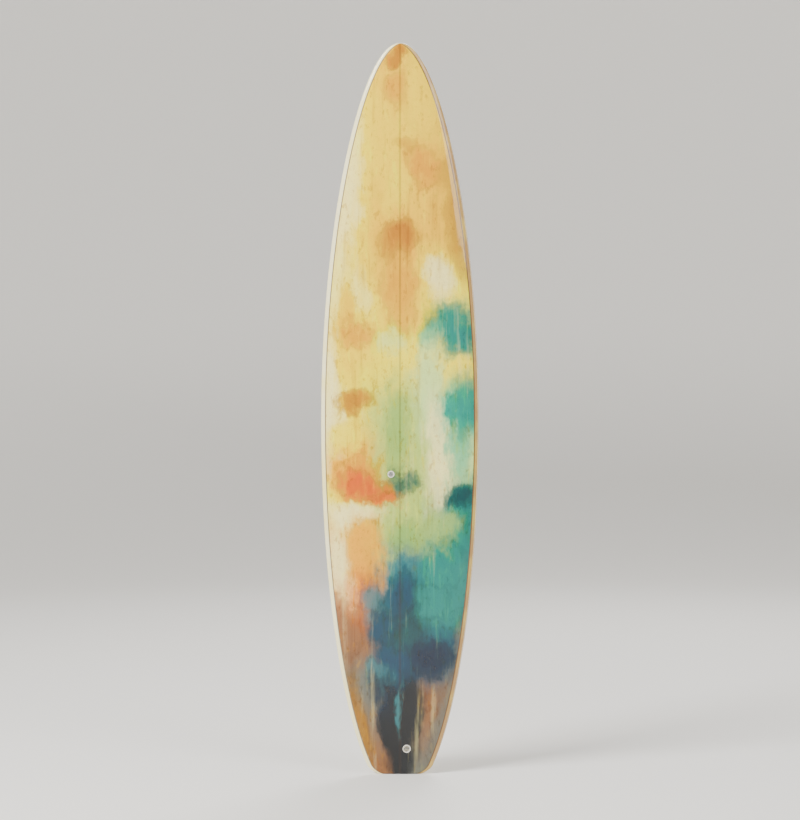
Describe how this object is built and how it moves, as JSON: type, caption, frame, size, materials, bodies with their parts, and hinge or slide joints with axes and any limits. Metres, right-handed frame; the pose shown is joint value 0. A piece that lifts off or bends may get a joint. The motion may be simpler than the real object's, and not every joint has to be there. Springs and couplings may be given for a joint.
{
  "type": "longboard surfboard",
  "caption": "Round-nosed longboard with a printed cloth deck inlay, wood stringer, glassed foam core, slotted centre fin, side fins, leash cup and vent.",
  "frame": {"origin": "centre of the flat tail end, which the board stands on", "axes": "+Z from the tail to the nose, -Y out of the deck, +Y out of the bottom and along the fins, +X to the right-hand rail seen from the deck"},
  "size_m": [0.5968, 0.3197, 2.7432],
  "materials": {
    "foam": "fine closed-cell foam, cream",
    "stringer_wood": "planed basswood",
    "inlay_cloth": "printed cloth, golden yellow to teal",
    "glass_skin": "polished clear resin over a printed deck and a cream bottom",
    "box_plastic": "moulded off-white plastic",
    "fin_glass": "sanded and polished fibreglass lay-up, deep teal",
    "brass": "turned brass",
    "stainless": "stainless steel",
    "cup_plastic": "moulded off-white plastic",
    "seal_rubber": "black rubber"
  },
  "bodies": {
    "board": {"foam_left": "foam", "foam_right": "foam", "stringer": "stringer_wood", "deck_inlay": "inlay_cloth", "glass_skin": "glass_skin", "center_fin_box": "box_plastic", "side_box_left": "box_plastic", "side_box_right": "box_plastic", "leash_cup": "cup_plastic", "leash_bar": "stainless", "vent_housing": "cup_plastic"},
    "center_fin": {"center_fin": "fin_glass", "fin_cross_pin": "brass", "fin_plate": "stainless"},
    "fin_screw": {"fin_screw": "stainless"},
    "side_fin_left": {"side_fin_left": "fin_glass"},
    "side_fin_right": {"side_fin_right": "fin_glass"},
    "side_screw_left": {"side_screw_left": "stainless"},
    "side_screw_right": {"side_screw_right": "stainless"},
    "vent_screw": {"vent_screw": "stainless", "vent_seal": "seal_rubber"}
  },
  "joints": [
    {"name": "center_fin_slide", "type": "slide", "parent": "board", "child": "center_fin", "axis": [0, 0.0658, 0.9978], "range_m": [-0.05, 0.04]},
    {"name": "fin_screw_turn", "type": "hinge", "parent": "center_fin", "child": "fin_screw", "pos_m": [0, 0.0366, 0.35984], "axis": [0, 0.9978, -0.0658], "continuous": true},
    {"name": "side_fin_left_out", "type": "slide", "parent": "board", "child": "side_fin_left", "axis": [-0.1832, 0.981, -0.064], "range_m": [0, 0.02]},
    {"name": "side_fin_right_out", "type": "slide", "parent": "board", "child": "side_fin_right", "axis": [0.1832, 0.981, -0.064], "range_m": [0, 0.02]},
    {"name": "side_screw_left_turn", "type": "hinge", "parent": "board", "child": "side_screw_left", "pos_m": [-0.18017, 0.03966, 0.4578], "axis": [-0.1252, 0.8455, 0.5191], "continuous": true},
    {"name": "side_screw_right_turn", "type": "hinge", "parent": "board", "child": "side_screw_right", "pos_m": [0.18017, 0.03966, 0.4578], "axis": [0.1252, 0.8455, 0.5191], "continuous": true},
    {"name": "vent_screw_turn", "type": "hinge", "parent": "board", "child": "vent_screw", "pos_m": [-0.034, -0.02285, 1.13], "axis": [-0.0033, -1, -0.007], "continuous": true}
  ]
}
